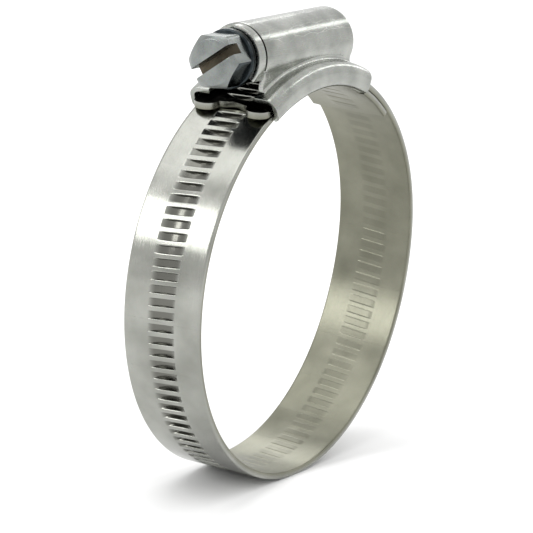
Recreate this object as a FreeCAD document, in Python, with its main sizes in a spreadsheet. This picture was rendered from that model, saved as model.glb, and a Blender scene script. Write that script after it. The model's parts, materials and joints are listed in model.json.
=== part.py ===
# Worm-drive hose clamp, all sizes in millimetres and degrees.
# Y is the axis of the hose bore, +Z runs up through the housing, the screw lies along X with its head
# at -X, and the origin is the centre of the bore. Angles round the ring are measured from +Z towards -X.
import FreeCAD, Part
import math
import os
from FreeCAD import Placement, Rotation, Vector

doc = FreeCAD.newDocument("HoseClamp")
sheet = doc.addObject("Spreadsheet::Sheet", "Sizes")

driving_sizes = {
    # the strip
    "bore_radius": 27.5,
    "band_width": 12.0,
    "band_thickness": 0.9,
    "layer_gap": 0.06,
    "link_gap": 0.03,
    "thread_pitch": 1.8,
    "groove_width": 1.12,
    "groove_arc_radius": 4.5,
    "groove_clearance": 0.14,
    "turns_open_to_closed": 10,
    "loop_links": 14,
    "layer_step_angle": 31.067,
    # the ends of the strip
    "fixed_end_front": 36.12,
    "tongue_start": -24.0,
    "tongue_tip": -40.3,
    "ear_root": 26.6,
    "ear_length": 2.7,
    "ear_bend_radius": 6.0,
    "ear_notch_radius": 2.3,
    # the pressed housing
    "saddle_front": 28.0,
    "saddle_rear": -22.5,
    "foot_front": 20.0,
    "sheet_thickness": 0.7,
    "worm_clearance": 0.55,
    "tube_rear": 9.9,
    "tube_front": 15.2,
    "tube_slit": 13.35,
    "slit_width": 0.3,
    "lip_bottom": 2.6,
    "bridge_top": 1.2,
    "channel_height": 2.8,
    "side_clearance": 0.3,
    "shoulder_radius": 1.6,
    "foot_reach": 0.85,
    "foot_clearance": 0.1,
    "foot_end_clearance": 0.4,
    "web_half_width": 4.25,
    "rear_crimp": 0.6,
    "crimp_clearance": 0.4,
    # the screw
    "worm_radius": 3.4,
    "worm_core_radius": 2.6,
    "worm_crest": 0.5,
    "worm_flank_angle": 20.0,
    "worm_front": 9.6,
    "worm_rear": 8.7,
    "thread_engagement": 0.43,
    "neck_radius": 2.9,
    "flange_step": 0.35,
    "flange_thickness": 0.95,
    "flange_gap": 0.2,
    "collar_radius": 4.1,
    "collar_thickness": 1.05,
    "head_flats": 7.0,
    "head_length": 3.8,
    "head_face_radius": 3.35,
    "head_chamfer_angle": 30.0,
    "head_turn": 175.0,
    "slot_width": 1.5,
    "slot_depth": 2.3,
    "slot_turn": 143.0,
    "thrust_gap": 0.15,
}

for row, (alias, value) in enumerate(driving_sizes.items(), 1):
    sheet.set(f"A{row}", alias)
    sheet.set(f"B{row}", str(value))
    sheet.setAlias(f"B{row}", alias)
doc.recompute()


def size(alias):
    return float(sheet.get(alias))


# Sizes that several pieces share, as expressions on the sheet.
lower_expr = "Sizes.bore_radius"
upper_expr = "Sizes.bore_radius + Sizes.band_thickness + Sizes.layer_gap"
stack_expr = upper_expr + " + Sizes.band_thickness"
screw_height_expr = stack_expr + " + Sizes.worm_radius - Sizes.thread_engagement"
roof_inner_expr = "Sizes.bore_radius + Sizes.channel_height"
roof_outer_expr = roof_inner_expr + " + Sizes.sheet_thickness"
channel_width_expr = "Sizes.band_width + 2 * Sizes.side_clearance"
housing_width_expr = channel_width_expr + " + 2 * Sizes.sheet_thickness"
tube_bore_expr = "Sizes.worm_radius + Sizes.worm_clearance"
tube_radius_expr = tube_bore_expr + " + Sizes.sheet_thickness"
slit_high_expr = "-Sizes.tube_slit"
slit_low_expr = "-Sizes.tube_slit - Sizes.slit_width"
collar_high_expr = "-Sizes.tube_front - Sizes.thrust_gap"
collar_low_expr = collar_high_expr + " - Sizes.collar_thickness"
head_low_expr = collar_low_expr + " - Sizes.head_length"

lower_radius = size("bore_radius")
upper_radius = lower_radius + size("band_thickness") + size("layer_gap")
stack_radius = upper_radius + size("band_thickness")
screw_height = stack_radius + size("worm_radius") - size("thread_engagement")
mesh_radius = stack_radius - size("thread_engagement") / 2
roof_inner = lower_radius + size("channel_height")
roof_outer = roof_inner + size("sheet_thickness")
flank_mid_radius = (size("worm_radius") + size("worm_core_radius") + size("thread_engagement")) / 2
lead_angle = math.degrees(math.atan(size("thread_pitch") / (2 * math.pi * flank_mid_radius)))
tail_pitch = math.degrees(size("thread_pitch") / mesh_radius)
loop_pitch = math.degrees(size("thread_pitch") / (lower_radius + size("band_thickness")))
groove_depth = size("thread_engagement") + size("groove_clearance")
overcut = 1.0  # how far a cutting tool runs past what it cuts
origin = Vector(0, 0, 0)
pieces = []


def ring_direction(angle):
    a = math.radians(angle)
    return Vector(-math.sin(a), 0, math.cos(a))


def ring_tangent(angle):
    a = math.radians(angle)
    return Vector(-math.cos(a), 0, -math.sin(a))


def add(kind, label):
    obj = doc.addObject(kind, label)
    obj.Label = label
    return obj


def bind(obj, **expressions):
    for prop, expression in expressions.items():
        obj.setExpression(prop, expression)
    return obj


def bind_place(obj, **expressions):
    for axis, expression in expressions.items():
        obj.setExpression(f"Placement.Base.{axis}", expression)
    return obj


def pie(label, radius_expr, width_expr, start, end, centre=origin, middle_expr="0"):
    """A solid sector of a disc about the bore direction, centred across the strip on middle_expr."""
    body = add("Part::Cylinder", label)
    bind(body, Radius=radius_expr, Height=width_expr)
    body.Angle = end - start
    turn = Rotation(ring_direction(start), ring_tangent(start), Vector(0, -1, 0), "ZXY")
    body.Placement = Placement(centre, turn)
    return bind_place(body, y=f"({middle_expr}) + ({width_expr}) / 2")


def cut(label, base, tools):
    tool = tools[0]
    if len(tools) > 1:
        tool = add("Part::Compound", label + "_tools")
        tool.Links = tools
    result = add("Part::Cut", label)
    result.Base = base
    result.Tool = tool
    return result


def fuse(label, shapes):
    result = add("Part::MultiFuse", label)
    result.Shapes = shapes
    result.Refine = True
    return result


def common(label, base, tool):
    result = add("Part::Common", label)
    result.Base = base
    result.Tool = tool
    return result


def groove_tools(label, centre, outer_radius, angles):
    """The discs that press the thread: each leaves a shallow trough across the middle of the strip."""
    tools = []
    for number, angle in enumerate(angles, 1):
        radial = ring_direction(angle)
        axis = Rotation(radial, lead_angle).multVec(ring_tangent(angle))
        disc = add("Part::Cylinder", f"{label}_groove_{number:02d}")
        bind(disc, Radius="Sizes.groove_arc_radius", Height="Sizes.groove_width")
        middle = centre + radial * (outer_radius - groove_depth + size("groove_arc_radius"))
        base = middle - axis * (size("groove_width") / 2)
        disc.Placement = Placement(base, Rotation(Vector(0, 0, 1), axis))
        tools.append(disc)
    return tools


def strip_arc(label, inner_expr, inner_radius, start, end, groove_angles, centre=origin, extra_tools=()):
    """A stretch of the strip bent to one radius, with its pressed thread."""
    outer_expr = inner_expr + " + Sizes.band_thickness"
    outer = pie(label + "_outer", outer_expr, "Sizes.band_width", start, end, centre)
    inner = pie(
        label + "_inner", inner_expr, "Sizes.band_width + 2", start - overcut, end + overcut, centre
    )
    outer_radius = inner_radius + size("band_thickness")
    tools = [inner] + groove_tools(label, centre, outer_radius, groove_angles) + list(extra_tools)
    return cut(label, outer, tools)


def spread(start, end, count):
    """The middles of count equal steps between two angles."""
    return [start + (end - start) * (i + 0.5) / count for i in range(count)]


def half_gap(radius):
    return math.degrees(size("link_gap") / 2 / radius)


# --- the loop: short rigid links that stand for the flexible strip ---
# The running layer's rigid stretch in the housing moves with the tail, so it is one full travel longer
# than the housing. It starts between two ridges of its thread, which has a trough centred under the worm.
travel = size("turns_open_to_closed") * tail_pitch
tail_ridges = math.ceil((travel - size("saddle_rear")) / tail_pitch) - 0.5
tail_start = 360 - tail_ridges * tail_pitch
step_angle = size("layer_step_angle")
loop_start = size("fixed_end_front")
loop_end = tail_start - 2 * step_angle
loop_links = int(size("loop_links"))
loop_step = (loop_end - loop_start) / loop_links
loop_grooves = round(loop_step / loop_pitch)


def link(inner_expr, inner_radius, start, end, groove_count, centre=origin):
    label = f"band_link_{len(pieces) + 1:02d}"
    gap = half_gap(inner_radius)
    grooves = spread(start, end, groove_count)
    pieces.append(strip_arc(label, inner_expr, inner_radius, start + gap, end - gap, grooves, centre))


for i in range(loop_links):
    link_start = loop_start + i * loop_step
    link(lower_expr, lower_radius, link_start, link_start + loop_step, loop_grooves)

# Between the loop and the running layer the strip steps outward by one thickness: a flatter arc, then a
# tighter one, tangent to the loop, to each other and to the running layer.
step_shift = (upper_radius - lower_radius) / (2 * (1 - math.cos(math.radians(step_angle))))
flat_arc = (ring_direction(loop_end) * -step_shift, lower_radius + step_shift, loop_end)
tight_arc = (ring_direction(tail_start) * step_shift, upper_radius - step_shift, loop_end + step_angle)
for arc_centre, arc_radius, arc_start in (flat_arc, tight_arc):
    half_angle = step_angle / 2
    half_length = math.radians(half_angle) * (arc_radius + size("band_thickness"))
    groove_count = round(half_length / size("thread_pitch"))
    for half_start in (arc_start, arc_start + half_angle):
        link(f"{arc_radius:.6f}", arc_radius, half_start, half_start + half_angle, groove_count, arc_centre)

# --- the tail: the running layer under the worm, ending in two ears that flare outward ---
ear_root = size("ear_root")
last_groove = math.floor(ear_root / tail_pitch - 0.35)
tail_grooves = [k * tail_pitch for k in range(-math.floor(tail_ridges), last_groove + 1)]
tail_arc = strip_arc(
    "tail_arc", upper_expr, upper_radius, tail_start + half_gap(upper_radius), 360 + ear_root, tail_grooves
)
ear_span = math.degrees(size("ear_length") / (size("ear_bend_radius") + size("band_thickness") / 2))
ear_centre = ring_direction(ear_root) * (stack_radius + size("ear_bend_radius"))
ear_turn = Rotation(ring_direction(ear_root) * -1, ring_tangent(ear_root), Vector(0, 1, 0), "ZXY")
ear_outer = add("Part::Cylinder", "ear_outer")
bind(ear_outer, Radius="Sizes.ear_bend_radius + Sizes.band_thickness", Height="Sizes.band_width")
ear_outer.Angle = ear_span
ear_outer.Placement = Placement(ear_centre, ear_turn)
bind_place(ear_outer, y="-Sizes.band_width / 2")
ear_inner = add("Part::Cylinder", "ear_inner")
bind(ear_inner, Radius="Sizes.ear_bend_radius", Height="Sizes.band_width + 2")
ear_inner.Placement = Placement(ear_centre, ear_turn)
bind_place(ear_inner, y="-Sizes.band_width / 2 - 1")
tail_blank = fuse("tail_blank", [tail_arc, cut("ears", ear_outer, [ear_inner])])

# Each ear is rounded by cutting away what lies outside a round end, and a round notch parts them.
ear_width = size("band_width") / 2 - size("ear_notch_radius")
ear_radius_expr = "Sizes.band_width / 4 - Sizes.ear_notch_radius / 2"
ear_tip_angle = ear_root + math.degrees(size("ear_length") / stack_radius)
tool_height = 12.0
tool_sink = 4.0
ear_tool_margin = 1.0


def radial_foot(angle, y):
    return ring_direction(angle) * (upper_radius - tool_sink) + Vector(0, y, 0)


def radial_post(label, radius_expr, y, angle, ahead=0.0):
    """An upright cylinder through the strip, its axis along the ring direction at angle."""
    post = bind(add("Part::Cylinder", label), Radius=radius_expr)
    post.Height = tool_height
    base = radial_foot(angle, y) + ring_tangent(angle) * ahead
    post.Placement = Placement(base, Rotation(Vector(0, 0, 1), ring_direction(angle)))
    return post


def ear_corner(side, sign):
    """What lies past the round end of one ear."""
    middle = sign * (size("ear_notch_radius") + ear_width / 2)
    ahead = size("ear_length") - ear_width / 2
    square = add("Part::Box", f"ear_{side}_square")
    square.Length = ear_width + 2 * ear_tool_margin
    square.Width = 2 * size("ear_length")
    square.Height = tool_height
    base = radial_foot(ear_root, middle - ear_width / 2 - ear_tool_margin) + ring_tangent(ear_root) * ahead
    turn = Rotation(Vector(0, 1, 0), ring_tangent(ear_root), ring_direction(ear_root), "ZXY")
    square.Placement = Placement(base, turn)
    rounding = radial_post(f"ear_{side}_round", ear_radius_expr, middle, ear_root, ahead)
    return cut(f"ear_{side}_corner", square, [rounding])


ear_notch = radial_post("ear_notch", "Sizes.ear_notch_radius", 0, ear_tip_angle)
pieces.append(cut("band_tail", tail_blank, [ear_notch, ear_corner("near", -1), ear_corner("far", 1)]))

# --- the fixed end under it, notched at both edges for the housing's feet, and its springy tongue ---
notch_width = 3.0
foot_inner_expr = "Sizes.band_width / 2 + Sizes.side_clearance - Sizes.foot_reach"
notch_middle_expr = f"({foot_inner_expr} - Sizes.foot_clearance + {notch_width / 2})"
notch_rear = size("saddle_rear") - size("foot_end_clearance")
notch_front = size("foot_front") + size("foot_end_clearance")
side_notches = [
    pie(
        f"fixed_{side}_notch", upper_expr, f"{notch_width}",
        notch_rear, notch_front, origin, sign + notch_middle_expr,
    )
    for side, sign in (("near", "-"), ("far", "+"))
]
tongue_start = size("tongue_start")
fixed_count = math.floor((loop_start - tongue_start) / loop_pitch)
fixed_grooves = [loop_start - (i + 0.5) * loop_pitch for i in range(fixed_count)]
pieces.append(
    strip_arc(
        "band_fixed_end", lower_expr, lower_radius, tongue_start + half_gap(lower_radius),
        loop_start - half_gap(lower_radius), fixed_grooves, origin, side_notches,
    )
)
tongue_count = math.floor((tongue_start - size("tongue_tip")) / loop_pitch)
tongue_grooves = [tongue_start - (i + 0.5) * loop_pitch for i in range(tongue_count)]
pieces.append(
    strip_arc(
        "band_tongue", lower_expr, lower_radius, size("tongue_tip"),
        tongue_start - half_gap(lower_radius), tongue_grooves,
    )
)

# --- the housing: a saddle over the strip, a tube for the worm, and the walls between them ---
saddle_front = size("saddle_front")
saddle_rear = size("saddle_rear")


def rounded_rim(label, base, rim_radius, fillet_radius):
    """Rounds the two long edges at the outside of a sector."""
    doc.recompute()
    rounded = add("Part::Fillet", label)
    rounded.Base = base
    rounded.Edges = [
        (index, fillet_radius, fillet_radius)
        for index, edge in enumerate(base.Shape.Edges, 1)
        if isinstance(edge.Curve, Part.Circle) and abs(edge.Curve.Radius - rim_radius) < 1e-6
    ]
    return rounded


saddle_block = pie("saddle_block", roof_outer_expr, housing_width_expr, saddle_rear, saddle_front)
saddle_solid = rounded_rim("saddle_solid", saddle_block, roof_outer, size("shoulder_radius"))
channel_block = pie(
    "channel_block", roof_inner_expr, channel_width_expr, saddle_rear - overcut, saddle_front + overcut
)
channel_fillet = size("shoulder_radius") - size("sheet_thickness")
channel = rounded_rim("channel", channel_block, roof_inner, channel_fillet)
bore_clear = pie(
    "bore_clear", lower_expr, housing_width_expr + " + 2", saddle_rear - overcut, saddle_front + overcut
)
saddle = cut("saddle", saddle_solid, [channel, bore_clear])

foot_overlap = 0.1
foot_width_expr = f"Sizes.foot_reach + {foot_overlap}"
foot_middle_expr = f"({foot_inner_expr} + ({foot_width_expr}) / 2)"
feet = []
for side, sign in (("near", "-"), ("far", "+")):
    foot_ring = pie(
        f"foot_{side}_ring", "Sizes.bore_radius + Sizes.sheet_thickness", foot_width_expr,
        saddle_rear, size("foot_front"), origin, sign + foot_middle_expr,
    )
    foot_hole = pie(
        f"foot_{side}_hole", lower_expr, foot_width_expr + " + 1",
        saddle_rear - overcut, size("foot_front") + overcut, origin, sign + foot_middle_expr,
    )
    feet.append(cut(f"foot_{side}", foot_ring, [foot_hole]))


def along_x(label, radius_expr, low_expr, high_expr):
    """A cylinder on the screw's axis between two stations."""
    body = bind(add("Part::Cylinder", label), Radius=radius_expr, Height=f"({high_expr}) - ({low_expr})")
    body.Placement = Placement(origin, Rotation(Vector(0, 0, 1), Vector(1, 0, 0)))
    return bind_place(body, x=low_expr, z=screw_height_expr)


def block(label, x_low, x_high, y_low, y_high, z_low, z_high):
    """A box between six stations, each an expression on the sheet."""
    box = add("Part::Box", label)
    bind(
        box,
        Length=f"({x_high}) - ({x_low})",
        Width=f"({y_high}) - ({y_low})",
        Height=f"({z_high}) - ({z_low})",
    )
    return bind_place(box, x=x_low, y=y_low, z=z_low)


web_expr = "Sizes.web_half_width"
throat_expr = "Sizes.web_half_width - Sizes.sheet_thickness"
tube_reach_expr = tube_radius_expr + " + 1"
front_open_expr = "-Sizes.tube_front - 1"
worm_room_end_expr = "Sizes.tube_rear - Sizes.rear_crimp"
far_below_expr = "Sizes.bore_radius - 3"
tube_outer = along_x("tube_outer", tube_radius_expr, "-Sizes.tube_front", "Sizes.tube_rear")
web_block = block(
    "web_block", slit_high_expr, "Sizes.tube_rear", "-" + web_expr, web_expr,
    far_below_expr, screw_height_expr,
)
web_foot = pie("web_foot", roof_inner_expr, "2 * Sizes.web_half_width + 2", -60, 60)
web_solid = cut("web_solid", web_block, [web_foot])
shell_blank = fuse("shell_blank", [saddle, tube_outer, web_solid] + feet)

worm_room = along_x("worm_room", tube_bore_expr, front_open_expr, worm_room_end_expr)
crimp_room = along_x(
    "crimp_room", "Sizes.worm_core_radius + Sizes.crimp_clearance", worm_room_end_expr + " - 1",
    "Sizes.tube_rear + 1",
)
throat = block(
    "throat", front_open_expr, worm_room_end_expr, f"-({throat_expr})", throat_expr,
    far_below_expr, screw_height_expr + " - 0.5",
)
strip_room = pie(
    "strip_room", roof_inner_expr, channel_width_expr, saddle_rear - 4 * overcut, saddle_front + 6 * overcut
)
# In front of the slit only a half ring is left, wrapped over the screw's neck from the near side.
above_expr = screw_height_expr + " + " + tube_reach_expr
below_expr = f"{screw_height_expr} - ({tube_reach_expr})"
lip_bottom_expr = screw_height_expr + " - Sizes.lip_bottom"
slit_cut = block(
    "slit_cut", slit_low_expr, slit_high_expr, f"-({tube_reach_expr})", tube_reach_expr,
    below_expr, above_expr,
)
lip_open = block("lip_open", front_open_expr, slit_high_expr, "0", tube_reach_expr, below_expr, above_expr)
lip_under = block(
    "lip_under", front_open_expr, slit_high_expr, f"-({tube_reach_expr})", tube_reach_expr,
    below_expr, lip_bottom_expr,
)
housing_tools = [worm_room, crimp_room, throat, strip_room, slit_cut, lip_open, lip_under]
housing_open = cut("housing_open", shell_blank, housing_tools)
# The lip hangs on by a bridge at its lower end.
bridge_ring = along_x(
    "bridge_ring", tube_radius_expr, slit_low_expr + " - 0.2", slit_high_expr + " + 0.2"
)
bridge_bore = along_x("bridge_bore", tube_bore_expr, slit_low_expr + " - 1", slit_high_expr + " + 1")
bridge_keep = block(
    "bridge_keep", slit_low_expr + " - 1", slit_high_expr + " + 1", f"-({tube_reach_expr})", "0",
    lip_bottom_expr, screw_height_expr + " - Sizes.bridge_top",
)
bridge = common("lip_bridge", cut("bridge_shell", bridge_ring, [bridge_bore]), bridge_keep)
pieces.append(fuse("housing_shell", [housing_open, bridge]))

# --- the screw: worm, flange, neck, collar and slotted hexagon head in one piece ---
joint_overlap = 0.2  # how far two turned diameters run into each other before they are fused
flange_low_expr = slit_high_expr + " + Sizes.flange_gap"
core = along_x("screw_core", "Sizes.worm_core_radius", "-Sizes.worm_front - 0.5", "Sizes.worm_rear")
neck = along_x(
    "screw_neck", "Sizes.neck_radius", f"{collar_high_expr} - {joint_overlap}", "-Sizes.worm_front + 0.3"
)
flange = along_x(
    "screw_flange", "Sizes.worm_radius + Sizes.flange_step", flange_low_expr, flange_low_expr + " + Sizes.flange_thickness"
)
collar = along_x("screw_collar", "Sizes.collar_radius", collar_low_expr, collar_high_expr)
hexagon = add("Part::Prism", "head_hexagon")
hexagon.Polygon = 6
bind(hexagon, Circumradius="Sizes.head_flats / sqrt(3)", Height=f"Sizes.head_length + {joint_overlap}")
along_screw = Rotation(Vector(0, 0, 1), Vector(1, 0, 0))
hexagon.Placement = Placement(origin, Rotation(Vector(1, 0, 0), size("head_turn") - 90) * along_screw)
bind_place(hexagon, x=head_low_expr, z=screw_height_expr)
chamfer_cone = add("Part::Cone", "head_chamfer")
cone_height_expr = f"Sizes.head_length + {joint_overlap}"
bind(
    chamfer_cone,
    Radius1="Sizes.head_face_radius",
    Radius2=f"Sizes.head_face_radius + ({cone_height_expr}) / tan(Sizes.head_chamfer_angle * 1deg)",
    Height=cone_height_expr,
)
chamfer_cone.Placement = Placement(origin, along_screw)
bind_place(chamfer_cone, x=head_low_expr, z=screw_height_expr)
head = common("head_blank", hexagon, chamfer_cone)
slot = add("Part::Box", "driver_slot")
bind(slot, Width="Sizes.slot_width", Length="Sizes.slot_depth + 1", Height="2 * Sizes.head_flats")
slot_turn = Rotation(Vector(1, 0, 0), size("slot_turn") - 90)
slot_corner = Vector(-1, -size("slot_width") / 2, -size("head_flats"))
head_reach = size("tube_front") + size("thrust_gap") + size("collar_thickness") + size("head_length")
head_face = Vector(-head_reach, 0, screw_height)
slot.Placement = Placement(head_face + slot_turn.multVec(slot_corner), slot_turn)

# The thread is one right-handed ridge whose crest is under the axis at x = 0.
pitch = size("thread_pitch")
thread_root = size("worm_core_radius") - joint_overlap / 2
thread_tip = size("worm_radius")
tip_half = size("worm_crest") / 2
root_half = tip_half + (thread_tip - thread_root) * math.tan(math.radians(size("worm_flank_angle")))
thread_low = (math.ceil(-size("worm_front") / pitch) + 0.5) * pitch
thread_high = (math.floor(size("worm_rear") / pitch) - 0.5) * pitch
helix = Part.makeHelix(pitch, thread_high - thread_low, thread_root)
profile = Part.makePolygon([
    Vector(thread_root, 0, -root_half),
    Vector(thread_tip, 0, -tip_half),
    Vector(thread_tip, 0, tip_half),
    Vector(thread_root, 0, root_half),
    Vector(thread_root, 0, -root_half),
])
thread = add("Part::Feature", "worm_thread")
thread.Shape = Part.Wire(helix).makePipeShell([profile], True, True)
helix_turn = Rotation(Vector(0, 1, 0), Vector(0, 0, 1), Vector(1, 0, 0), "ZXY")
start_turn = Rotation(Vector(1, 0, 0), -90.0 + 360.0 * thread_low / pitch)
thread.Placement = Placement(Vector(thread_low, 0, screw_height), start_turn * helix_turn)
screw_blank = fuse("screw_blank", [core, neck, flange, collar, head, thread])
pieces.append(cut("worm_screw", screw_blank, [slot]))

doc.recompute()
for obj in doc.Objects:
    if "Invalid" in obj.State or "Error" in obj.State:
        raise RuntimeError(f"{obj.Label} did not compute: {obj.State}")
for piece in pieces:
    shape = piece.Shape
    if shape.isNull() or not shape.isValid() or shape.Volume <= 0:
        raise RuntimeError(f"{piece.Label} has no valid solid")
    if len(shape.Solids) != 1:
        raise RuntimeError(f"{piece.Label} is {len(shape.Solids)} solids")
os.makedirs("parts", exist_ok=True)
for piece in pieces:
    piece.Shape.exportStep(f"parts/{piece.Label}.step")
    print(f"{piece.Label:18s} {piece.Shape.Volume:9.3f} mm3")
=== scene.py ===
import bmesh
import bpy
import json
import math
from mathutils import Matrix, Vector


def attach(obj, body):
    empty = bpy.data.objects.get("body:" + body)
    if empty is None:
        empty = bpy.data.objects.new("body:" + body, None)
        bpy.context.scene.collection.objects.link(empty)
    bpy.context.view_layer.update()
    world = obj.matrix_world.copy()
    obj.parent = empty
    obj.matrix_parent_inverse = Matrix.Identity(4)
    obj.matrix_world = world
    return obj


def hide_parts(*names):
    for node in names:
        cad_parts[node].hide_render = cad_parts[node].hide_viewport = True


# A worm-drive hose clamp: Y runs along the hose bore, Z up through the housing, the screw lies along X with
# its head at -X. Angles round the ring are in degrees from +Z towards -X. Sizes are in millimetres.
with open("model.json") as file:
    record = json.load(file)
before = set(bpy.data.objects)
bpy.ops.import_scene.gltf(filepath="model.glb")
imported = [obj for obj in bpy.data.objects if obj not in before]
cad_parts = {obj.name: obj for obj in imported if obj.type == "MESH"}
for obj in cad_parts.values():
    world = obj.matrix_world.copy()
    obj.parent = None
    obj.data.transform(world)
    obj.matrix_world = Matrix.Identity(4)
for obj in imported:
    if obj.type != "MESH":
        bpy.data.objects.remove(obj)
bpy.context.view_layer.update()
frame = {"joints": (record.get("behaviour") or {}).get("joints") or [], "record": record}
mm = 0.001

joints = {joint["name"]: joint for joint in frame["joints"]}
mounts = {mount["name"]: mount for mount in frame["record"]["mounts"]}
boreRadius = mounts["hose_bore"]["dims"]["r_mm"]
screwHeight = joints["screw_turn"]["pos_m"][2] / mm


def ringPoint(angle, radius, y=0.0, centre=(0.0, 0.0)):
    a = math.radians(angle)
    return Vector((centre[0] - radius * math.sin(a), y, centre[1] + radius * math.cos(a)))


def steps(first, last, count):
    # count + 1 even values
    return [first + (last - first) * i / count for i in range(count + 1)]


def arcPoints(centre, radius, first, last, count):
    # angles in degrees
    return [
        (centre[0] + radius * math.cos(math.radians(a)), centre[1] + radius * math.sin(math.radians(a)))
        for a in steps(first, last, count)
    ]


def gridSpot(vert, rows, columns):
    # which row and column of a fresh grid a vertex is in
    return round((vert.co.y + 1) / 2 * rows), round((vert.co.x + 1) / 2 * columns)


def makePiece(name, bm, material, body, replaced, sharpAngle):
    # turns a bmesh in millimetres into a finished piece
    bmesh.ops.remove_doubles(bm, verts=bm.verts, dist=1e-5)
    bmesh.ops.recalc_face_normals(bm, faces=bm.faces)
    limit = math.radians(sharpAngle)
    for face in bm.faces:
        face.smooth = True
    for edge in bm.edges:
        edge.smooth = len(edge.link_faces) == 2 and edge.calc_face_angle(0) < limit
    bmesh.ops.scale(bm, vec=(mm, mm, mm), verts=bm.verts)
    mesh = bpy.data.meshes.new(name)
    bm.to_mesh(mesh)
    bm.free()
    piece = bpy.data.objects.new(name, mesh)
    bpy.context.scene.collection.objects.link(piece)
    mesh.materials.append(material)
    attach(piece, body)
    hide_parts(*replaced)
    return piece


def nodeMaker(material):
    tree = material.node_tree

    def make(kind, inputs=None, **settings):
        node = tree.nodes.new(kind)
        for key, value in settings.items():
            setattr(node, key, value)
        for key, value in (inputs or {}).items():
            if isinstance(value, bpy.types.NodeSocket):
                tree.links.new(value, node.inputs[key])
            else:
                node.inputs[key].default_value = value
        return node

    return make


def steel(name, look):
    # rolling grain, cloudy polish, fine scratches and small dents
    material = bpy.data.materials.new(name)
    material.use_nodes = True
    material.node_tree.nodes.clear()
    make = nodeMaker(material)
    place = make("ShaderNodeTexCoord").outputs["Object"]
    grainPlace = make("ShaderNodeMapping", {"Vector": place, "Scale": look["grainScale"]}).outputs[0]
    grain = make("ShaderNodeTexNoise", {"Vector": grainPlace, "Scale": 1.0, "Detail": 6.0, "Roughness": 0.65})
    cloud = make("ShaderNodeTexNoise", {"Vector": place, "Scale": look["cloudScale"], "Detail": 3.0})
    speck = make("ShaderNodeTexNoise", {"Vector": place, "Scale": look["speckScale"], "Detail": 4.0})
    cracks = make("ShaderNodeTexVoronoi", {"Vector": grainPlace, "Scale": look["scratchScale"]},
                  feature="DISTANCE_TO_EDGE")
    scratch = make("ShaderNodeMapRange", {0: cracks.outputs["Distance"], 1: 0.0, 2: 0.02, 3: 1.0, 4: 0.0})
    ramp = make("ShaderNodeValToRGB", {0: cloud.outputs[0]})
    ramp.color_ramp.elements[0].position = 0.3
    ramp.color_ramp.elements[0].color = (*look["dark"], 1)
    ramp.color_ramp.elements[1].position = 0.7
    ramp.color_ramp.elements[1].color = (*look["light"], 1)
    toned = make("ShaderNodeMix", {0: look["speckShare"], 6: ramp.outputs[0], 7: speck.outputs[1]},
                 data_type="RGBA", blend_type="SOFT_LIGHT")
    colour, dull = toned.outputs[2], None
    if "troughShadeColour" in look:
        # red paints shade into the troughs, green marks the inside of the ring, painted darker with an olive
        # tint as shade
        painted = make("ShaderNodeAttribute", attribute_name="paintedShade").outputs[0]
        share = make("ShaderNodeSeparateColor", {0: painted})
        troughShaded = make("ShaderNodeMix", {0: share.outputs[0], 6: colour, 7: (*look["troughShadeColour"], 1)}, data_type="RGBA")
        # painted shade: the inside of the ring is multiplied darker and olive
        inner = make("ShaderNodeMix", {0: 1.0, 6: troughShaded.outputs[2], 7: (*look["innerShadeTint"], 1)},
                     data_type="RGBA", blend_type="MULTIPLY")
        both = make("ShaderNodeMix", {0: share.outputs[1], 6: troughShaded.outputs[2], 7: inner.outputs[2]},
                    data_type="RGBA")
        colour, dull = both.outputs[2], share.outputs[1]
    low, high = look["roughness"]
    mixed = make("ShaderNodeMath", {0: grain.outputs[0], 1: cloud.outputs[0], 2: 0.15},
                 operation="MULTIPLY_ADD")
    rough = make("ShaderNodeMapRange", {0: mixed.outputs[0], 1: 0.2, 2: 0.65, 3: low, 4: high})
    rougher = make("ShaderNodeMath", {0: scratch.outputs[0], 1: 0.08, 2: rough.outputs[0]},
                   operation="MULTIPLY_ADD")
    gloss = rougher.outputs[0]
    if dull:
        duller = make("ShaderNodeMath", {0: dull, 1: look["innerRough"], 2: gloss}, operation="MULTIPLY_ADD")
        gloss = duller.outputs[0]
    first = make("ShaderNodeBump", {"Strength": look["grainBump"], "Distance": 0.00002,
                                    "Height": grain.outputs[0]})
    second = make("ShaderNodeBump", {"Strength": look["scratchBump"], "Distance": 0.00002,
                                     "Height": scratch.outputs[0], "Normal": first.outputs[0]}, invert=True)
    third = make("ShaderNodeBump", {"Strength": look["dentBump"], "Distance": 0.0002,
                                    "Height": cloud.outputs[0], "Normal": second.outputs[0]})
    shader = make("ShaderNodeBsdfPrincipled", {
        "Base Color": colour, "Metallic": 1.0, "Roughness": gloss,
        "Normal": third.outputs[0], "Anisotropic": look["anisotropic"],
    })
    make("ShaderNodeOutputMaterial", {"Surface": shader.outputs[0]})
    return material


bandLook = {
    "dark": (0.25, 0.255, 0.23), "light": (0.37, 0.375, 0.345), "roughness": (0.13, 0.26),
    "grainScale": (900.0, 9000.0, 900.0), "cloudScale": 160.0, "speckScale": 9000.0, "speckShare": 0.25,
    "scratchScale": 0.35, "grainBump": 0.12, "scratchBump": 0.10, "dentBump": 0.06, "anisotropic": 0.35,
    # painted shade: the next two colours darken the troughs and the inside of the ring
    "troughShadeColour": (0.14, 0.14, 0.125), "innerShadeTint": (0.62, 0.61, 0.52), "innerRough": 0.13,
}
housingLook = {
    "dark": (0.25, 0.26, 0.24), "light": (0.44, 0.45, 0.42), "roughness": (0.14, 0.30),
    "grainScale": (1200.0, 5000.0, 5000.0), "cloudScale": 210.0, "speckScale": 8000.0, "speckShare": 0.5,
    "scratchScale": 0.25, "grainBump": 0.22, "scratchBump": 0.3, "dentBump": 0.14, "anisotropic": 0.2,
}
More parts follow.
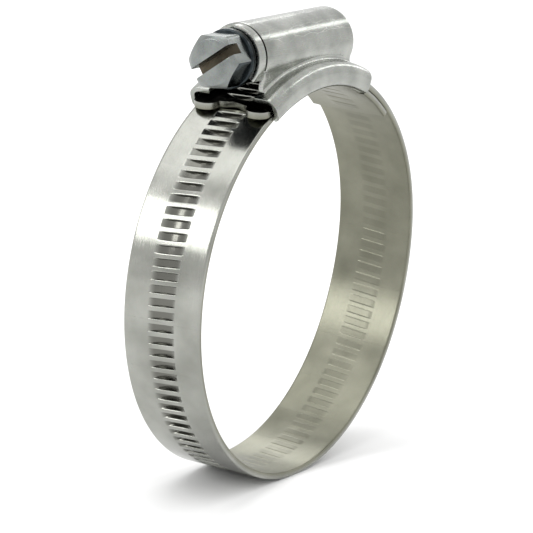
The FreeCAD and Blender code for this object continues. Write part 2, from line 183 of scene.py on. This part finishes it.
headLook = {
    "dark": (0.17, 0.185, 0.18), "light": (0.27, 0.285, 0.275), "roughness": (0.22, 0.38),
    "grainScale": (6000.0, 2500.0, 2500.0), "cloudScale": 380.0, "speckScale": 6000.0, "speckShare": 0.35,
    "scratchScale": 0.3, "grainBump": 0.25, "scratchBump": 0.2, "dentBump": 0.12, "anisotropic": 0.0,
}
# near-black collar and shaft, also painted as shade on the hex flanks that face down or sideways
collarAndShadedFlankLook = {
    "dark": (0.012, 0.016, 0.018), "light": (0.05, 0.06, 0.065), "roughness": (0.12, 0.3),
    "grainScale": (3000.0, 3000.0, 3000.0), "cloudScale": 500.0, "speckScale": 6000.0, "speckShare": 0.3,
    "scratchScale": 0.3, "grainBump": 0.3, "scratchBump": 0.15, "dentBump": 0.25, "anisotropic": 0.0,
}
slotLook = {**headLook, "dark": (0.05, 0.042, 0.03), "light": (0.15, 0.13, 0.095), "roughness": (0.4, 0.6)}
bandSteel = steel("bandSteel", bandLook)
housingSteel = steel("housingSteel", housingLook)
headSteel = steel("headSteel", headLook)
collarAndShadedFlankSteel = steel("collarAndShadedFlankSteel", collarAndShadedFlankLook)
slotSteel = steel("slotSteel", slotLook)
print("materials made")

strip = {
    "width": 12.0, "thickness": 0.9, "layerGap": 0.06, "pitch": 1.8, "edgeRound": 0.17,
    "grooveWidth": 1.16, "grooveDepth": 0.57, "grooveArc": 4.5, "wall": 0.13, "leadAngle": 5.12,
    "meshRadius": 29.145, "turns": 10, "loopStart": 36.12, "loopLinks": 14, "stepAngle": 31.067,
    "saddleRear": -22.5, "tongueStart": -24.0, "tongueTip": -40.3, "earRoot": 26.6, "earLength": 2.7,
    "earBend": 6.0, "earNotch": 2.3, "gap": 0.006, "bulge": 0.05, "markReach": 2.3, "innerMarkShade": 0.22,
    "feetFront": 20.4, "feetRunOut": 0.4, "notchedHalf": 5.35, "notchShoulder": 4.4,
    "closestRows": 0.012, "widestRows": 1.2, "endFade": 0.3, "slantEnd": 2.4, "slantFade": 1.4,
    "troughShadeDepth": 0.3, "earTurn": 5.2, "waveReach": 3.0,
}
lowerRadius = boreRadius
upperRadius = lowerRadius + strip["thickness"] + strip["layerGap"]
tailPitch = math.degrees(strip["pitch"] / strip["meshRadius"])
loopPitch = math.degrees(strip["pitch"] / (lowerRadius + strip["thickness"]))
tailRidges = math.ceil((strip["turns"] * tailPitch - strip["saddleRear"]) / tailPitch) - 0.5
tailStart = 360 - tailRidges * tailPitch
loopEnd = tailStart - 2 * strip["stepAngle"]
loopStep = (loopEnd - strip["loopStart"]) / strip["loopLinks"]

# stations across the strip, from one edge to the other
halfWidth = strip["width"] / 2
acrossHalf = [0.0, 0.35, 0.7, 1.05, 1.4, 1.7, 1.95, 2.12, 2.22, 2.32, 2.5, 2.9, 3.6, 4.4, 5.2, 5.6]
acrossHalf += [halfWidth - strip["edgeRound"] * (1 - math.sin(math.radians(a))) for a in steps(0, 90, 4)]
across = [-y for y in reversed(acrossHalf[1:])] + acrossHalf
# stations along one thread pitch, from the trough's middle
halfTrough = strip["grooveWidth"] / 2
alongHalf = [0.0, 0.22, halfTrough - strip["wall"] - 0.06, halfTrough - strip["wall"],
             halfTrough - strip["wall"] * 0.75, halfTrough - strip["wall"] * 0.45,
             halfTrough - strip["wall"] * 0.15, halfTrough + 0.03, halfTrough + 0.12]


def smoothStep(t):
    t = min(max(t, 0.0), 1.0)
    return t * t * (3 - 2 * t)


def edgeDrop(y):
    # how far the rolled edge rounds away from the strip's face
    inside = abs(y) - (halfWidth - strip["edgeRound"])
    if inside <= 0:
        return 0.0
    return strip["edgeRound"] - math.sqrt(max(strip["edgeRound"] ** 2 - inside ** 2, 0.0))


def troughDepth(y):
    # the trough's floor is an arc across the strip
    reach = strip["grooveArc"] - strip["grooveDepth"]
    if abs(y) >= strip["grooveArc"]:
        return 0.0
    return max(math.sqrt(strip["grooveArc"] ** 2 - y * y) - reach, 0.0)


def pressedStrip(name, body, replaced, start, end, grooves, innerRadius, centre=(0.0, 0.0),
                 extraStations=(), shape=None, bulge=0.0):
    # a stretch from angle start to end, with a trough at each angle in grooves
    gap = math.degrees(strip["gap"] / innerRadius) / 2
    start, end = start + gap, end - gap
    outerRadius = innerRadius + strip["thickness"]
    perMm = math.degrees(1 / outerRadius)
    along = {start, end, *extraStations}
    for groove in grooves:
        for offset in alongHalf:
            along |= {groove + offset * perMm, groove - offset * perMm}
    ordered = sorted(a for a in along if start <= a <= end)
    kept = [ordered[0]]
    for a in ordered[1:]:
        if a - kept[-1] > strip["closestRows"] * perMm:
            kept.append(a)
    kept[-1] = end
    longest = strip["widestRows"] * perMm
    rows = [kept[0]]
    for a in kept[1:]:
        count = max(1, math.ceil((a - rows[-1]) / longest))
        rows += steps(rows[-1], a, count)[1:]
    bm = bmesh.new()
    paintedShade = bm.verts.layers.float_color.new("paintedShade")
    columns = len(across)
    bmesh.ops.create_grid(bm, x_segments=columns - 1, y_segments=len(rows) - 1, size=1.0)
    raised = bmesh.ops.extrude_face_region(bm, geom=list(bm.faces))
    outerFace = {g for g in raised["geom"] if isinstance(g, bmesh.types.BMVert)}
    slant = math.tan(math.radians(strip["leadAngle"]))
    for vert in bm.verts:
        row, column = gridSpot(vert, len(rows) - 1, columns - 1)
        y = across[column]
        angle = rows[row]
        # how deep the press goes here, before the slant
        press = 0.0
        for groove in grooves:
            offset = abs(angle - groove) / perMm
            if offset < halfTrough:
                press = max(press, smoothStep((halfTrough - offset) / strip["wall"]))
        # the slant dies out at the ends and past the troughs
        fade = smoothStep(min(angle - start, end - angle) / perMm / strip["endFade"])
        fade *= 1 - smoothStep((abs(y) - strip["slantEnd"]) / strip["slantFade"])
        shifted = angle + y * slant * fade * perMm
        drop = edgeDrop(y)
        depth = troughDepth(y) * press
        isInner = vert not in outerFace
        # painted shade: darker where the troughs are deep, and faintly over the pressed marks inside the ring
        troughShade = min(depth / strip["troughShadeDepth"], 1.0) * smoothStep((strip["markReach"] + 0.1 - abs(y)) / 0.4)
        vert[paintedShade] = (troughShade * (strip["innerMarkShade"] if isInner else 1.0), float(isInner), 0.0, 1.0)
        if isInner:
            height = drop - bulge * press * smoothStep((strip["markReach"] - abs(y)) / 0.8)
        else:
            height = strip["thickness"] - drop - depth
        if shape:
            vert.co = shape(shifted, y, height, angle)
        else:
            vert.co = ringPoint(shifted, innerRadius + height, y, centre)
    makePiece(name, bm, bandSteel, body, replaced, sharpAngle=50)


def evenGrooves(start, end, count):
    return [start + (end - start) * (i + 0.5) / count for i in range(count)]


loopGrooves = round(loopStep / loopPitch)
for i in range(strip["loopLinks"]):
    linkName = f"band_link_{i + 1:02d}"
    linkStart = strip["loopStart"] + i * loopStep
    pressedStrip(f"loopStrip{i + 1:02d}", linkName, [linkName], linkStart, linkStart + loopStep,
                 evenGrooves(linkStart, linkStart + loopStep, loopGrooves), lowerRadius,
                 bulge=strip["bulge"])

# the strip steps out by one layer over a flatter and then a tighter arc
stepShift = (upperRadius - lowerRadius) / (2 * (1 - math.cos(math.radians(strip["stepAngle"]))))
flatCentre = ringPoint(loopEnd, -stepShift)
tightCentre = ringPoint(tailStart, stepShift)
linkNumber = strip["loopLinks"]
for arcCentre, arcRadius, arcStart in (
    (flatCentre, lowerRadius + stepShift, loopEnd),
    (tightCentre, upperRadius - stepShift, loopEnd + strip["stepAngle"]),
):
    halfStep = strip["stepAngle"] / 2
    count = round(math.radians(halfStep) * (arcRadius + strip["thickness"]) / strip["pitch"])
    for half in range(2):
        linkNumber += 1
        linkName = f"band_link_{linkNumber:02d}"
        first = arcStart + half * halfStep
        pressedStrip(f"stepStrip{linkNumber:02d}", linkName, [linkName], first, first + halfStep,
                     evenGrooves(first, first + halfStep, count), arcRadius, (arcCentre.x, arcCentre.z),
                     bulge=strip["bulge"] if arcCentre is flatCentre else 0.0)

# the running layer, whose two ears flare outward at the end
earRoot = 360 + strip["earRoot"]
earStations = [earRoot + s for s in steps(0.0, strip["earTurn"], 26)]
earEnd = earStations[-1]


def earReach(y):
    # how far the strip's end reaches past the ears' root
    notch, tip = strip["earNotch"], strip["earLength"]
    rounding = (halfWidth - notch) / 2
    side = min(abs(abs(y) - notch - rounding) / rounding, 1.0)
    shoulder = tip - rounding
    if abs(y) < notch:
        return tip - notch + (shoulder - tip + notch) * smoothStep(abs(y) / notch)
    return shoulder + rounding * math.sqrt(max(1 - side * side, 0.0))


def flared(shifted, y, height, angle):
    # carries the strip's end outward along the ears' bend
    if angle <= earRoot:
        return ringPoint(shifted, upperRadius + height, y)
    share = (angle - earRoot) / (earEnd - earRoot)
    reach = earReach(y) * share
    bendRadius = strip["earBend"] + strip["thickness"]
    turn = reach / (strip["earBend"] + strip["thickness"] / 2)
    root = ringPoint(earRoot, upperRadius + bendRadius)
    outward = ringPoint(earRoot, 1.0)
    forward = ringPoint(earRoot + 90, 1.0)
    arm = bendRadius - height
    point = root - outward * (arm * math.cos(turn)) + forward * (arm * math.sin(turn))
    return Vector((point.x, y, point.z))


lastGroove = math.floor(strip["earRoot"] / tailPitch - 0.35)
tailGrooves = [360 + k * tailPitch for k in range(-math.floor(tailRidges), lastGroove + 1)]
pressedStrip("runningStrip", "tail", ["band_tail"], tailStart, earEnd, tailGrooves, upperRadius,
             extraStations=[earRoot] + earStations, shape=flared)

# the fixed end below it, and its springy tongue
fixedCount = math.floor((strip["loopStart"] - strip["tongueStart"]) / loopPitch)
fixedGrooves = [strip["loopStart"] - (i + 0.5) * loopPitch for i in range(fixedCount)]
tongueCount = math.floor((strip["tongueStart"] - strip["tongueTip"]) / loopPitch)
tongueGrooves = [strip["tongueStart"] - (i + 0.5) * loopPitch for i in range(tongueCount)]


def notchedForFeet(shifted, y, height, angle):
    # the housing's feet sit in long notches in both edges
    inNotch = smoothStep((strip["feetFront"] - angle) / strip["feetRunOut"])
    start = strip["notchShoulder"]
    if abs(y) > start:
        narrow = start + (abs(y) - start) * (strip["notchedHalf"] - start) / (halfWidth - start)
        y = math.copysign(abs(y) + (narrow - abs(y)) * inNotch, y)
    return ringPoint(shifted, lowerRadius + height, y)


pressedStrip("fixedStrip", "housing", ["band_fixed_end"], strip["tongueStart"], strip["loopStart"],
             fixedGrooves, lowerRadius, shape=notchedForFeet, bulge=strip["bulge"],
             extraStations=steps(strip["feetFront"] - strip["feetRunOut"], strip["feetFront"], 3))


def tongueEdge(shifted, y, height, angle):
    # the sheared end is a little wavy
    near = 1 - smoothStep((angle - strip["tongueTip"]) / strip["waveReach"])
    wave = 0.22 * math.sin(y * 1.1 + 0.6) + 0.1 * math.sin(y * 2.7)
    return ringPoint(shifted + near * (0.35 + wave), lowerRadius + height, y)


pressedStrip("tongueStrip", "tongue", ["band_tongue"], strip["tongueTip"], strip["tongueStart"],
             tongueGrooves, lowerRadius, shape=tongueEdge, bulge=strip["bulge"],
             extraStations=steps(strip["tongueTip"], strip["tongueTip"] + strip["waveReach"], 6))
print("strip made")

housing = {
    "front": 28.0, "rear": -22.5, "feetFront": 20.0, "sheet": 0.7, "roof": 31.0, "halfWidth": 7.0,
    "shoulder": 1.6, "footCorner": 0.85, "footEdge": 5.45, "throatHalf": 3.62, "web": 4.25,
    "tube": 4.65, "tubeFront": -13.35, "tubeRear": 9.9, "crimp": 0.62, "rearHole": 3.05, "flare": 0.5,
    "lipFront": -15.2, "lipRear": -13.65, "lipDepth": 2.6, "bridgeTop": 1.2, "bridgeLap": 0.4,
    "rim": 0.13, "sharpRim": 55,
}


def edgesOver(bm, angle):
    return [e for e in bm.edges if len(e.link_faces) == 2 and e.calc_face_angle(0) > math.radians(angle)]


def roundEdges(bm, edges, offset, segments):
    bmesh.ops.bevel(bm, geom=edges, offset=offset, offset_type="OFFSET", segments=segments, profile=0.5,
                    affect="EDGES", clamp_overlap=True, material=-1)


def thicken(bm, amount, rim):
    # sheet thickness goes inward, then the cut edges are rounded
    bmesh.ops.remove_doubles(bm, verts=bm.verts, dist=1e-4)
    bmesh.ops.recalc_face_normals(bm, faces=bm.faces)
    bmesh.ops.solidify(bm, geom=list(bm.faces), thickness=amount)
    bmesh.ops.recalc_face_normals(bm, faces=bm.faces)
    roundEdges(bm, edgesOver(bm, housing["sharpRim"]), rim, 3)


def skin(rows, columns, place, keep=None):
    # a grid of faces, each corner put where place(row, column) says
    sheet = bmesh.new()
    bmesh.ops.create_grid(sheet, x_segments=columns, y_segments=rows, size=1.0)
    where = {vert: gridSpot(vert, rows, columns) for vert in sheet.verts}
    for face in list(sheet.faces):
        row = min(where[v][0] for v in face.verts)
        column = min(where[v][1] for v in face.verts)
        if keep and not keep(row, column):
            sheet.faces.remove(face)
    for vert, (row, column) in where.items():
        vert.co = place(row, column)
    bmesh.ops.delete(sheet, geom=[v for v in sheet.verts if not v.link_faces], context="VERTS")
    return sheet


def merge(target, source):
    mesh = bpy.data.meshes.new("joined")
    source.to_mesh(mesh)
    source.free()
    target.from_mesh(mesh)
    bpy.data.meshes.remove(mesh)


def saddleProfile():
    # (y, radius) from a foot, up the side wall, to the roof's middle
    edge, corner, shoulder = housing["halfWidth"], housing["footCorner"], housing["shoulder"]
    points = [(housing["footEdge"], boreRadius), (housing["footEdge"] + 0.35, boreRadius)]
    points += arcPoints((edge - corner, boreRadius + corner), corner, -90, 0, 6)
    roof = housing["roof"]
    points += [(edge, y) for y in steps(boreRadius + corner, roof - shoulder, 3)[1:-1]]
    points += arcPoints((edge - shoulder, roof - shoulder), shoulder, 0, 90, 9)
    points += [(y, roof) for y in steps(edge - shoulder, housing["throatHalf"], 3)[1:]]
    points += [(y, roof) for y in steps(housing["throatHalf"], 0.0, 3)[1:]]
    return points


def buildHousing():
    bm = bmesh.new()
    # the saddle
    half = saddleProfile()
    outline = half + [(-y, r) for y, r in reversed(half[:-1])]
    tubeRearAngle = math.degrees(-math.asin(housing["tubeRear"] / housing["roof"]))
    angles = steps(housing["front"], housing["feetFront"], 8)
    angles += steps(housing["feetFront"], tubeRearAngle, 30)[1:]
    angles += steps(tubeRearAngle, housing["rear"], 5)[1:]

    def saddleSpot(row, column):
        y, radius = outline[column]
        return ringPoint(angles[row], radius, y)

    def keepSaddle(row, column):
        left, right = outline[column][0], outline[column + 1][0]
        inThroat = max(abs(left), abs(right)) < housing["throatHalf"] + 0.01
        if inThroat and angles[row + 1] > tubeRearAngle - 0.01:
            return False
        isFoot = min(column, len(outline) - 2 - column) < 2
        return not (isFoot and angles[row] > housing["feetFront"] + 0.01)

    saddle = skin(len(angles) - 1, len(outline) - 1, saddleSpot, keepSaddle)
    thicken(saddle, housing["sheet"], housing["rim"])
    merge(bm, saddle)

    # the tube on its two webs
    def sideY(z, radius):
        down = max(screwHeight - z, 0.0)
        circle = math.sqrt(max(radius ** 2 - down ** 2, 0.0))
        return max(circle, housing["web"] - (housing["tube"] - radius))

    flare, crimp = housing["flare"], housing["crimp"]
    stations = [(x, housing["tube"]) for x in steps(housing["tubeFront"], housing["tubeRear"] - crimp, 34)]
    for a in steps(0, math.pi / 2, 5)[1:]:
        stations.append((housing["tubeRear"] - crimp + crimp * math.sin(a),
                         housing["tube"] - crimp * (1 - math.cos(a))))
    stations += [(housing["tubeRear"], r) for r in steps(housing["tube"] - crimp, housing["rearHole"], 2)[1:]]

    def tubeProfile(x, radius):
        low = math.sqrt(housing["roof"] ** 2 - x * x) - 0.02
        top = low + flare
        side = sideY(top, radius)
        points = [(side + flare * (1 - math.sin(a)), low + flare * (1 - math.cos(a)))
                  for a in steps(0, math.pi / 2, 5)]
        points += [(sideY(z, radius), z) for z in steps(top, screwHeight, 7)[1:]]
        points += arcPoints((0.0, screwHeight), radius, 0, 90, 14)[1:]
        return points + [(-y, z) for y, z in reversed(points[:-1])]

    profiles = [tubeProfile(x, radius) for x, radius in stations]

    def tubeSpot(row, column):
        y, z = profiles[row][column]
        return Vector((stations[row][0], y, z))

    tube = skin(len(stations) - 1, len(profiles[0]) - 1, tubeSpot)
    thicken(tube, housing["sheet"], housing["rim"] * 0.7)
    merge(bm, tube)

    # the front lip, cut off square at the top, and the bridge that carries it
    inner = housing["tube"] - housing["sheet"]
    middle = inner + housing["sheet"] / 2
    lipEnd = math.degrees(math.asin(housing["lipDepth"] / middle))
    bridgeEnd = math.degrees(math.asin(housing["bridgeTop"] / middle))
    lap = housing["bridgeLap"]
    for low, high, first, last in (
        (housing["lipFront"], housing["lipRear"], -90.0, lipEnd),
        (housing["lipRear"] - lap, housing["tubeFront"] + lap, bridgeEnd, lipEnd),
    ):
        ring = bmesh.new()
        bmesh.ops.create_grid(ring, x_segments=1, y_segments=1, size=0.5)
        bmesh.ops.scale(ring, vec=(high - low, housing["sheet"], 1), verts=ring.verts)
        bmesh.ops.translate(ring, vec=((low + high) / 2, -middle, 0), verts=ring.verts)
        bmesh.ops.rotate(ring, cent=(0, 0, 0), matrix=Matrix.Rotation(math.radians(first), 3, "X"),
                         verts=ring.verts)
        count = max(4, round((last - first) / 3))
        bmesh.ops.spin(ring, geom=list(ring.faces), cent=(0, 0, 0), axis=(1, 0, 0),
                       angle=math.radians(last - first), steps=count)
        bmesh.ops.recalc_face_normals(ring, faces=ring.faces)
        roundEdges(ring, edgesOver(ring, housing["sharpRim"]), housing["rim"], 3)
        bmesh.ops.translate(ring, vec=(0, 0, screwHeight), verts=ring.verts)
        merge(bm, ring)
    makePiece("pressedHousing", bm, housingSteel, "housing", ["housing_shell"],
              sharpAngle=35)


buildHousing()
print("housing made")

screw = {
    "rear": 8.7, "core": 2.6, "neckRear": -9.3, "neck": 2.9, "flangeRear": -12.2, "flangeFront": -13.15,
    "flange": 3.75, "collarRear": -15.35, "collarFront": -16.4, "collar": 4.1, "face": -20.2,
    "flats": 7.0, "faceRadius": 3.18, "chamfer": 38.0, "headTurn": 85.0, "cornerRound": 0.14,
    "slotWidth": 1.5, "slotDepth": 2.3, "slotTurn": 53.0, "slotRim": 0.07,
    "worm": 3.4, "pitch": 1.8, "wormLow": -8.1, "wormHigh": 6.3, "crest": 0.25, "root": 0.55,
    "sides": 120, "perTurn": 36, "soft": 0.12,
}


def buildShaft():
    bm = bmesh.new()
    soft = screw["soft"]
    outline = [(screw["rear"], 0.0), (screw["rear"], screw["core"] - 2 * soft),
               (screw["rear"] - 2 * soft, screw["core"]), (screw["neckRear"], screw["core"]),
               (screw["neckRear"] - 0.3, screw["neck"]), (screw["flangeRear"], screw["neck"]),
               (screw["flangeRear"], screw["flange"] - soft), (screw["flangeRear"] - soft, screw["flange"]),
               (screw["flangeFront"] + soft, screw["flange"]), (screw["flangeFront"], screw["flange"] - soft),
               (screw["flangeFront"], screw["neck"]), (screw["collarRear"], screw["neck"]),
               (screw["collarRear"], screw["collar"] - soft)]
    outline += [(screw["collarRear"] - soft + x, screw["collar"] - soft + r)
                for x, r in arcPoints((0.0, 0.0), soft, 0, 90, 4)]
    outline += [(screw["collarFront"] + 2 * soft + x, screw["collar"] - 2 * soft + r)
                for x, r in arcPoints((0.0, 0.0), 2 * soft, 90, 180, 6)]
    outline.append((screw["collarFront"], 0.0))
    verts = [bm.verts.new((x, 0.0, r)) for x, r in outline]
    edges = [bm.edges.new(pair) for pair in zip(verts, verts[1:])]
    bmesh.ops.spin(bm, geom=verts + edges, cent=(0, 0, 0), axis=(1, 0, 0), angle=math.tau, steps=72,
                   use_merge=True)
    bmesh.ops.remove_doubles(bm, verts=bm.verts, dist=1e-4)
    # the thread ridge, right-handed
    turns = (screw["wormHigh"] - screw["wormLow"]) / screw["pitch"]
    start = 180.0 + 360.0 * screw["wormLow"] / screw["pitch"]
    ridge = bmesh.new()
    corners = ((-screw["root"], screw["core"] - 0.1), (-screw["crest"], screw["worm"]),
               (screw["crest"], screw["worm"]), (screw["root"], screw["core"] - 0.1))
    profile = [ridge.verts.new((screw["wormLow"] + x, 0.0, r)) for x, r in corners]
    face = ridge.faces.new(profile)
    bmesh.ops.rotate(ridge, cent=(0, 0, 0), matrix=Matrix.Rotation(math.radians(start), 3, "X"),
                     verts=ridge.verts)
    bmesh.ops.spin(ridge, geom=[face], cent=(0, 0, 0), axis=(1, 0, 0), angle=math.tau * turns,
                   steps=round(screw["perTurn"] * turns), dvec=(screw["pitch"] / screw["perTurn"], 0, 0))
    bmesh.ops.recalc_face_normals(ridge, faces=ridge.faces)
    merge(bm, ridge)
    return bm


def hexRadius(angle):
    # from the axis to the hexagon's side, with the corners a little rounded
    turned = (angle - screw["headTurn"] + 30) % 60 - 30
    flat = screw["flats"] / 2 / math.cos(math.radians(30 - abs(turned)))
    corner = screw["flats"] / 2 / math.cos(math.radians(30)) - screw["cornerRound"] * 0.5
    return min(flat, corner)


def buildHead():
    bm = bmesh.new()
    sides = screw["sides"]
    bmesh.ops.create_circle(bm, cap_ends=True, segments=sides, radius=1.0)
    angles = [screw["headTurn"] + 360.0 * i / sides for i in range(sides)]
    ordered = sorted(bm.verts, key=lambda v: math.atan2(v.co.y, v.co.x) % math.tau)

    def placeRing(ring, spot):
        for vert, angle in zip(ring, angles):
            x, radius = spot(angle)
            a = math.radians(angle)
            vert.co = Vector((x, -radius * math.sin(a), radius * math.cos(a)))

    rise = math.tan(math.radians(screw["chamfer"]))
    spots = [lambda angle: (screw["face"], screw["faceRadius"] - 0.12),
             lambda angle: (screw["face"] + 0.03, screw["faceRadius"] - 0.03)]
    for share in (0.08, 0.5, 1.0):
        spots.append(lambda angle, t=share: (
            screw["face"] + 0.05 + (hexRadius(angle) - screw["faceRadius"]) * t * rise,
            screw["faceRadius"] + (hexRadius(angle) - screw["faceRadius"]) * t))
    spots.append(lambda angle: (screw["collarFront"] + 0.05, hexRadius(angle)))
    placeRing(ordered, spots[0])
    for spot in spots[1:]:
        loops = [next(e for e in a.link_edges if e.other_vert(a) is b)
                 for a, b in zip(ordered, ordered[1:] + ordered[:1])]
        grown = bmesh.ops.extrude_edge_only(bm, edges=loops)
        fresh = [g for g in grown["geom"] if isinstance(g, bmesh.types.BMVert)]
        ordered = [min(fresh, key=lambda v: (v.co - old.co).length) for old in ordered]
        placeRing(ordered, spot)
    bmesh.ops.holes_fill(bm, edges=[e for e in bm.edges if e.is_boundary], sides=0)
    bmesh.ops.recalc_face_normals(bm, faces=bm.faces)
    return bm


def cutSlot(head):
    tool = bmesh.new()
    bmesh.ops.create_cube(tool, size=1.0)
    bmesh.ops.scale(tool, vec=(2 * screw["slotDepth"], screw["slotWidth"], 12.0), verts=tool.verts)
    bmesh.ops.translate(tool, vec=(screw["face"], 0, 0), verts=tool.verts)
    turn = Matrix.Rotation(math.radians(screw["slotTurn"]), 3, "X")
    bmesh.ops.rotate(tool, cent=(0, 0, 0), matrix=turn, verts=tool.verts)
    helpers = []
    for name, bm in (("headBlank", head), ("slotTool", tool)):
        mesh = bpy.data.meshes.new(name)
        bm.to_mesh(mesh)
        bm.free()
        helper = bpy.data.objects.new(name, mesh)
        bpy.context.scene.collection.objects.link(helper)
        helpers.append(helper)
    cutter = helpers[0].modifiers.new("slot", "BOOLEAN")
    cutter.object = helpers[1]
    cutter.operation = "DIFFERENCE"
    cutter.solver = "EXACT"
    bpy.context.view_layer.update()
    shaped = bpy.data.meshes.new_from_object(
        helpers[0].evaluated_get(bpy.context.evaluated_depsgraph_get()))
    bm = bmesh.new()
    bm.from_mesh(shaped)
    for helper in helpers:
        bpy.data.objects.remove(helper)
    bpy.data.meshes.remove(shaped)
    bmesh.ops.remove_doubles(bm, verts=bm.verts, dist=1e-4)
    rimEnd = screw["face"] + screw["slotDepth"] - 0.3
    rim = [e for e in edgesOver(bm, 48) if max(v.co.x for v in e.verts) < rimEnd]
    roundEdges(bm, rim, screw["slotRim"], 2)
    return bm


def buildScrew():
    bm = buildShaft()
    merge(bm, cutSlot(buildHead()))
    bm.normal_update()
    floorAt = screw["face"] + screw["slotDepth"]
    slotSide = Vector((0, 1, 0))
    slotSide.rotate(Matrix.Rotation(math.radians(screw["slotTurn"]), 3, "X"))
    for face in bm.faces:
        middle = face.calc_center_median()
        inHead = middle.x < screw["collarFront"] - 0.02
        isFloor = abs(middle.x - floorAt) < 0.05 and abs(face.normal.x) > 0.9
        nearSlot = abs(middle.dot(slotSide)) < screw["slotWidth"] / 2 + screw["slotRim"]
        isWall = abs(face.normal.dot(slotSide)) > 0.95 and nearSlot
        # painted shade: hex flanks facing up take the lighter head material, the rest keep the near-black
        # collar material
        if inHead and isFloor:
            face.material_index = 2
        elif inHead and (face.normal.x < -0.3 or isWall or face.normal.z > 0.05):
            face.material_index = 1
    bmesh.ops.translate(bm, vec=(0, 0, screwHeight), verts=bm.verts)
    piece = makePiece("slottedScrew", bm, collarAndShadedFlankSteel, "screw", ["worm_screw"], sharpAngle=32)
    piece.data.materials.append(headSteel)
    piece.data.materials.append(slotSteel)


buildScrew()
print("screw made")

# the camera's own right, up and back directions
studio = {
    "floor": -28.4, "cameraAt": (-392.9704, -234.3803, 110.6864),
    "right": (0.527448, -0.846589, 0.071317), "up": (0.162011, 0.182629, 0.969742),
    "back": (-0.833997, -0.499935, 0.233484), "lens": 226.26, "paper": 0.92, "sky": 1.06,
}


def buildStudio():
    scene = bpy.context.scene
    floorMesh = bpy.data.meshes.new("floor")
    bm = bmesh.new()
    bmesh.ops.create_grid(bm, x_segments=8, y_segments=8, size=6.0)
    bmesh.ops.translate(bm, vec=(0, 0, studio["floor"] * mm), verts=bm.verts)
    bm.to_mesh(floorMesh)
    bm.free()
    floor = bpy.data.objects.new("floor", floorMesh)
    scene.collection.objects.link(floor)
    paper = bpy.data.materials.new("paper")
    paper.use_nodes = True
    surface = paper.node_tree.nodes["Principled BSDF"]
    surface.inputs["Base Color"].default_value = (studio["paper"], studio["paper"], studio["paper"], 1)
    surface.inputs["Roughness"].default_value = 0.9
    floorMesh.materials.append(paper)
    world = bpy.data.worlds.new("studio")
    scene.world = world
    world.use_nodes = True
    world.node_tree.nodes["Background"].inputs[0].default_value = (1, 1, 1, 1)
    world.node_tree.nodes["Background"].inputs[1].default_value = studio["sky"]
    camera = bpy.data.objects.new("camera", bpy.data.cameras.new("camera"))
    scene.collection.objects.link(camera)
    rotation = Matrix((studio["right"], studio["up"], studio["back"])).transposed()
    camera.matrix_world = Matrix.Translation(Vector(studio["cameraAt"]) * mm) @ rotation.to_4x4()
    camera.data.sensor_width = 36.0
    camera.data.lens = studio["lens"]
    camera.data.clip_start = 0.01
    camera.data.clip_end = 50.0
    scene.camera = camera


def softbox(name, at, aim, size, power, along=(0, 0, 1)):
    # metres and watts; along is the direction of the long side
    light = bpy.data.lights.new(name, "AREA")
    light.shape = "RECTANGLE"
    light.size, light.size_y = size
    light.energy = power
    lamp = bpy.data.objects.new(name, light)
    bpy.context.scene.collection.objects.link(lamp)
    away = (Vector(at) - Vector(aim)).normalized()
    tall = (Vector(along) - away * away.dot(Vector(along))).normalized()
    turned = Matrix((tall.cross(away), tall, away)).transposed()
    lamp.matrix_world = Matrix.Translation(Vector(at)) @ turned.to_4x4()


buildStudio()
softbox("highSoftbox", (-0.10, 0.12, 0.60), (0, 0, 0), (0.5, 0.5), 1.2, (0, 1, 0))
softbox("stripLight", (0.40, -0.105, 0.265), (0, 0, 0.03), (0.05, 0.5), 0.20, (0.59, 0.61, -0.53))
softbox("sideSoftbox", (-0.50, 0.36, 0.30), (-0.02, 0, 0.01), (0.22, 0.22), 0.8)
softbox("backSoftbox", (0.41, 0.30, 0.33), (0, 0, 0.03), (0.2, 0.2), 0.32)
bpy.context.scene.view_settings.view_transform = "Standard"
